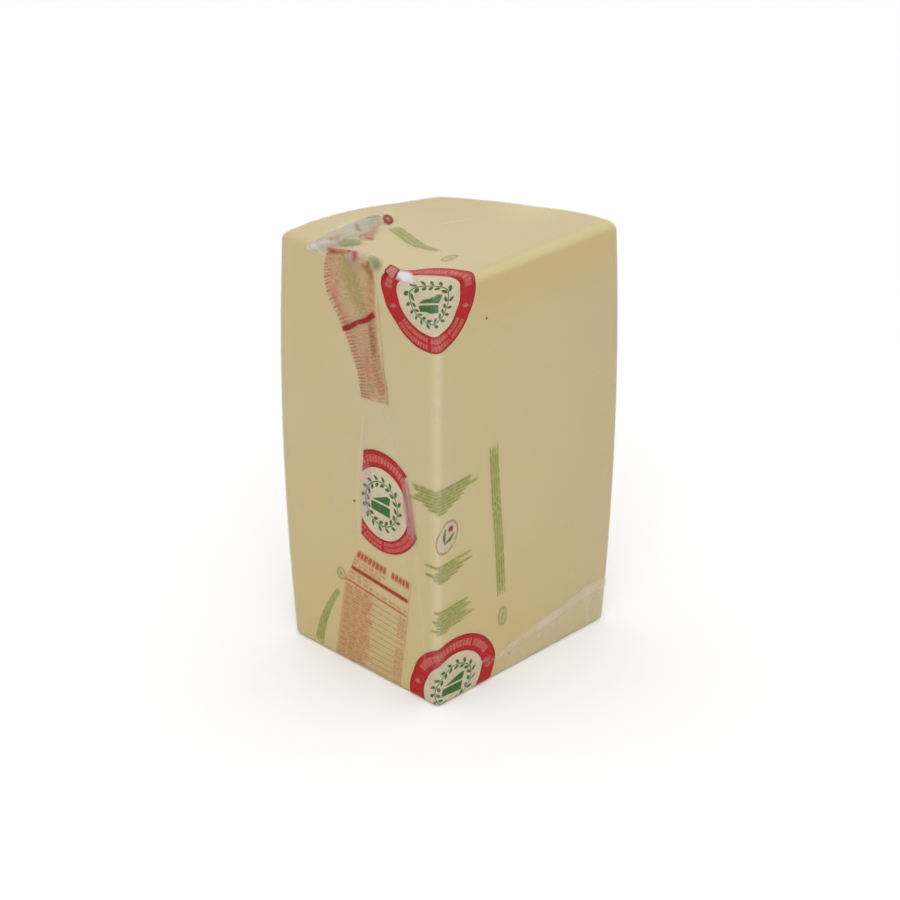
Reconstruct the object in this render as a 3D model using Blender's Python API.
"""A quarter wheel of hard ewe's-milk cheese, standing upright in a tight clear bag.

A round wheel, as tall as it is wide, is cut by two upright planes that meet at the front edge.
The bag is sealed round the piece and clings to it, so bag and cheese are one closed body, and
the bag's larger folds stand out of it as low relief.

Plan places are measured from the front edge: along the right cut, then along the left cut.
"""
import math

import bmesh
import bpy
from mathutils import Vector

MM = 0.001

# The cheese
HEIGHT = 300 * MM
WHEEL_RADIUS = 149.5 * MM       # the rind at its widest
AXIS_OFFSET = 24.5 * MM         # from the left cut to the wheel's axis, which lies in the right cut
RIND_DRAW = 7.3 * MM            # how far the rind draws in, half a height away from its widest
WIDEST_LEVEL = 164 * MM
TOP_FALL = 1.6 * MM             # how much lower the top is at the right end of the right cut

# Rounded edges, each a radius
RIM_RADIUS = 13.5 * MM          # rind into top
FOOT_RADIUS = 3 * MM            # rind into bottom
CUT_TOP_RADIUS = 7 * MM         # cuts into top
CUT_FOOT_RADIUS = 2.5 * MM      # cuts into bottom
FRONT_EDGE_RADIUS = 3.5 * MM    # cut into cut
SIDE_EDGE_RADIUS = 4.5 * MM     # cuts into rind
CUT_BLEND = 15 * MM             # along a cut, where its edges grow into the rind's
RIND_BLEND = 25 * MM            # the same along the rind

# The film bridges the rim unevenly: direction seen from the axis, half width, rise of the rim
RIM_SAG = (math.radians(25), math.radians(15), -2.0 * MM)
RIM_PEAK = (math.radians(51), math.radians(11), 2.9 * MM)
RIM_DIP = (math.radians(99.5), math.radians(8.5), -4.8 * MM)

# At the top's left corner the film is drawn tight, so that the rounded edges are squarer there
TIGHT_REACH = 24 * MM           # from the left side edge, where the corner is as round as the rest
TIGHT_POWER = 5                 # 2 is a quarter circle, more is squarer

# Folds of the bag, each a path of (along, across, up) with the band's half width at every point
GATHER_PATH = ((6, 100, 300), (22, 101, 300), (40, 103, 300), (60, 107, 300))
GATHER_HALF_WIDTHS = (14, 18, 17, 9)
GATHER_RISE = 3.4 * MM
GATHER_PLEAT = 14 * MM          # from pleat to pleat along the gather
PLEATED_PATH = ((10, 84, 300), (1, 78, 297), (0, 76, 268), (0, 70, 250), (0, 61, 225), (0, 55, 201))
PLEATED_HALF_WIDTHS = (16, 23, 24, 21, 15, 11)
PLEATED_RISE = 1.1 * MM
SEAL_ON_CUT = ((58, 0, 13), (68, 0, 16), (103, 0, 21), (141, 0, 27), (164, 0, 28))
SEAL_ON_RIND = ((4, 28), (12, 28), (20, 27), (28, 25), (36, 22), (44, 18), (52, 13))
SEAL_START_HALF_WIDTH = 3
SEAL_HALF_WIDTH = 5.5
SEAL_RISE = 0.9 * MM

# How finely each stretch is divided
FRONT_EDGE_STEPS = 4
SIDE_EDGE_STEPS = 4
RIGHT_CUT_STEPS = 24
LEFT_CUT_STEPS = 28
RIND_STEPS = 28
TOP_ROUND_STEPS = 4
FOOT_ROUND_STEPS = 3
TOP_RING_STEP = 4 * MM
TOP_RING_COUNT = 13
WALL_BANDS = ((40, 8), (190, 10), (293, 20))     # up to this level in millimetres, in so many steps

BAG_COLOUR = (0.52, 0.42, 0.25, 1.0)
BAG_ROUGHNESS = 0.35


def clear_scene():
    for item in list(bpy.data.objects):
        bpy.data.objects.remove(item, do_unlink=True)


def ease(share):
    """0 to 1 with level ends."""
    share = min(max(share, 0.0), 1.0)
    return share * share * (3 - 2 * share)


def fractions(steps):
    """The starts of equal steps from 0 to 1, without the end."""
    return [step / steps for step in range(steps)]


def arc_points(centre, radius, start, end, steps):
    points = []
    for share in fractions(steps):
        angle = start + (end - start) * share
        points.append((centre[0] + radius * math.cos(angle), centre[1] + radius * math.sin(angle)))
    return points


def line_points(start, end, steps):
    return [(start[0] + (end[0] - start[0]) * share, start[1] + (end[1] - start[1]) * share)
            for share in fractions(steps)]


def ring(cut_inset, rind_inset):
    """The plan outline, anticlockwise, set in from both cuts and from the rind."""
    front = cut_inset + FRONT_EDGE_RADIUS
    side = cut_inset + SIDE_EDGE_RADIUS
    reach = WHEEL_RADIUS - rind_inset - SIDE_EDGE_RADIUS
    right_corner = (AXIS_OFFSET + math.sqrt(reach ** 2 - side ** 2), side)
    left_corner = (side, math.sqrt(reach ** 2 - (AXIS_OFFSET - side) ** 2))
    rind_start = math.atan2(right_corner[1], right_corner[0] - AXIS_OFFSET)
    rind_end = math.atan2(left_corner[1], left_corner[0] - AXIS_OFFSET)
    down = 1.5 * math.pi
    return (
        arc_points((front, front), FRONT_EDGE_RADIUS, math.pi, down, FRONT_EDGE_STEPS)
        + line_points((front, cut_inset), (right_corner[0], cut_inset), RIGHT_CUT_STEPS)
        + arc_points(right_corner, SIDE_EDGE_RADIUS, -math.pi / 2, rind_start, SIDE_EDGE_STEPS)
        + arc_points((AXIS_OFFSET, 0), WHEEL_RADIUS - rind_inset, rind_start, rind_end, RIND_STEPS)
        + arc_points(left_corner, SIDE_EDGE_RADIUS, rind_end, math.pi, SIDE_EDGE_STEPS)
        + line_points((cut_inset, left_corner[1]), (cut_inset, front), LEFT_CUT_STEPS)
    )


def edge_weights():
    """For each point of a ring: 0 on a cut to 1 on the rind, and how near it is to the tight corner."""
    outline = ring(0, 0)
    right_edge = FRONT_EDGE_STEPS + RIGHT_CUT_STEPS + SIDE_EDGE_STEPS // 2
    left_edge = right_edge + SIDE_EDGE_STEPS + RIND_STEPS
    weights = []
    for index, point in enumerate(outline):
        left_gap = math.dist(point, outline[left_edge])
        gap = min(math.dist(point, outline[right_edge]), left_gap)
        tightness = ease(1 - left_gap / TIGHT_REACH)
        if right_edge <= index <= left_edge:
            weights.append((0.5 + 0.5 * ease(gap / RIND_BLEND), tightness))
        else:
            weights.append((0.5 - 0.5 * ease(gap / CUT_BLEND), tightness))
    return weights


def draw_in(level):
    """How far the barrel-shaped rind lies inside its widest circle at a level."""
    return RIND_DRAW * ((level - WIDEST_LEVEL) / (HEIGHT / 2)) ** 2


def square_lift(outside):
    """How much higher a squarer edge stands than a round one of radius 1, this far outside its middle."""
    return (1 - outside ** TIGHT_POWER) ** (1 / TIGHT_POWER) - math.sqrt(1 - outside ** 2)


def stations():
    """From foot to top: (cut inset, cut level, rind inset, rind level, the tight corner's lift)."""
    rows = []
    for share in fractions(FOOT_ROUND_STEPS):
        angle = share * math.pi / 2
        cut_inset, cut_level = 1 - math.sin(angle), 1 - math.cos(angle)
        rows.append((
            CUT_FOOT_RADIUS * cut_inset, CUT_FOOT_RADIUS * cut_level,
            draw_in(FOOT_RADIUS) + FOOT_RADIUS * cut_inset, FOOT_RADIUS * cut_level, 0))
    band_start = CUT_FOOT_RADIUS
    cut_wall = HEIGHT - CUT_TOP_RADIUS - CUT_FOOT_RADIUS
    rind_wall = HEIGHT - RIM_RADIUS - FOOT_RADIUS
    for band_end, steps in WALL_BANDS:
        for share in fractions(steps):
            cut_level = band_start + (band_end * MM - band_start) * share
            climbed = (cut_level - CUT_FOOT_RADIUS) / cut_wall
            rind_level = FOOT_RADIUS + climbed * rind_wall
            rows.append((0, cut_level, draw_in(rind_level), rind_level, 0))
        band_start = band_end * MM
    for step in range(TOP_ROUND_STEPS + 1):
        angle = step / TOP_ROUND_STEPS * math.pi / 2
        outside, drop = math.cos(angle), 1 - math.sin(angle)
        rows.append((
            CUT_TOP_RADIUS * (1 - outside), HEIGHT - CUT_TOP_RADIUS * drop,
            draw_in(HEIGHT - RIM_RADIUS) + RIM_RADIUS * (1 - outside), HEIGHT - RIM_RADIUS * drop,
            square_lift(outside)))
    cut_inset, _, rind_inset, _, _ = rows[-1]
    for count in range(1, TOP_RING_COUNT + 1):
        further = count * TOP_RING_STEP
        rows.append((cut_inset + further, HEIGHT, rind_inset + further, HEIGHT, 0))
    return rows


def top_rise(along, across):
    """The top's fall to the right, and the film's sag and peak, which fade towards the axis."""
    direction = math.atan2(across, along - AXIS_OFFSET)
    nearness = min(math.hypot(along - AXIS_OFFSET, across) / WHEEL_RADIUS, 1.0)
    rise = 0.0
    for place, half_width, height in (RIM_SAG, RIM_PEAK, RIM_DIP):
        rise += height * max(0.0, 1 - abs(direction - place) / half_width)
    return rise * nearness ** 3 - TOP_FALL * along / (AXIS_OFFSET + WHEEL_RADIUS)


def seal_band():
    """The bag's end seal, across the right cut and on round the rind (direction in degrees, level)."""
    path = list(SEAL_ON_CUT)
    for degrees, level in SEAL_ON_RIND:
        radius = (WHEEL_RADIUS - draw_in(level * MM)) / MM
        direction = math.radians(degrees)
        path.append((AXIS_OFFSET / MM + radius * math.cos(direction), radius * math.sin(direction), level))
    return path, [SEAL_START_HALF_WIDTH] + [SEAL_HALF_WIDTH] * (len(path) - 1)


def band_place(spot, path, half_widths):
    """How deep inside a band a spot lies, 1 on its path and 0 outside, and how far along it."""
    best, best_run, run = 0.0, 0.0, 0.0
    for index in range(len(path) - 1):
        start, end = Vector(path[index]) * MM, Vector(path[index + 1]) * MM
        step = end - start
        share = min(max((spot - start).dot(step) / step.length_squared, 0.0), 1.0)
        gap = (spot - start - step * share).length
        half_width = (half_widths[index] + (half_widths[index + 1] - half_widths[index]) * share) * MM
        depth = max(0.0, 1 - gap / half_width)
        if depth > best:
            best, best_run = depth, run + step.length * share
        run += step.length
    return best, best_run


def fold_relief(spot, bands):
    """How far the bag's folds stand out at a spot."""
    depth, run = band_place(spot, GATHER_PATH, GATHER_HALF_WIDTHS)
    pleats = 0.7 + 0.3 * math.cos(2 * math.pi * run / GATHER_PLEAT)
    relief = GATHER_RISE * ease(1.3 * depth) * pleats
    for path, half_widths, rise in bands:
        depth, _ = band_place(spot, path, half_widths)
        relief = max(relief, rise * ease(2 * depth))
    return relief


def loft(body):
    """Rings from foot to top joined by quads, with a flat bottom and a closed middle."""
    weights = edge_weights()
    rings = []
    for cut_inset, cut_level, rind_inset, rind_level, lift in stations():
        row = []
        for (along, across), (weight, tightness) in zip(ring(cut_inset, rind_inset), weights):
            radius = CUT_TOP_RADIUS + (RIM_RADIUS - CUT_TOP_RADIUS) * weight
            level = cut_level + (rind_level - cut_level) * weight + radius * lift * tightness
            climbed = ease((level - WIDEST_LEVEL) / (HEIGHT - WIDEST_LEVEL))
            row.append(body.verts.new((along, across, level + top_rise(along, across) * climbed)))
        rings.append(row)
    count = len(weights)
    for lower, upper in zip(rings, rings[1:]):
        for index in range(count):
            after = (index + 1) % count
            body.faces.new((lower[index], lower[after], upper[after], upper[index]))
    body.faces.new(list(reversed(rings[0])))
    middle = sum((vert.co for vert in rings[-1]), Vector()) / count
    crown = body.verts.new(middle)
    for index in range(count):
        body.faces.new((rings[-1][index], rings[-1][(index + 1) % count], crown))


def raise_folds(body):
    """Pushes the surface out where the bag is folded."""
    bands = (
        (PLEATED_PATH, PLEATED_HALF_WIDTHS, PLEATED_RISE),
        (*seal_band(), SEAL_RISE),
    )
    body.normal_update()
    moves = [(vert, vert.normal * fold_relief(vert.co, bands)) for vert in body.verts]
    for vert, move in moves:
        vert.co += move


def bag_material():
    material = bpy.data.materials.new("bagged_cheese")
    material.use_nodes = True
    shader = material.node_tree.nodes["Principled BSDF"]
    shader.inputs["Base Color"].default_value = BAG_COLOUR
    shader.inputs["Roughness"].default_value = BAG_ROUGHNESS
    shader.inputs["Metallic"].default_value = 0.0
    return material


def make_bagged_cheese():
    """The whole pack, with its plan's middle over the origin."""
    body = bmesh.new()
    loft(body)
    raise_folds(body)
    plan_middle = Vector(((AXIS_OFFSET + WHEEL_RADIUS) / 2, WHEEL_RADIUS / 2, 0))
    bmesh.ops.translate(body, verts=body.verts, vec=-plan_middle)
    bmesh.ops.recalc_face_normals(body, faces=body.faces)
    mesh = bpy.data.meshes.new("bagged_cheese")
    body.to_mesh(mesh)
    body.free()
    mesh.shade_smooth()
    mesh.materials.append(bag_material())
    pack = bpy.data.objects.new("bagged_cheese", mesh)
    bpy.context.collection.objects.link(pack)
    return pack


clear_scene()
make_bagged_cheese()
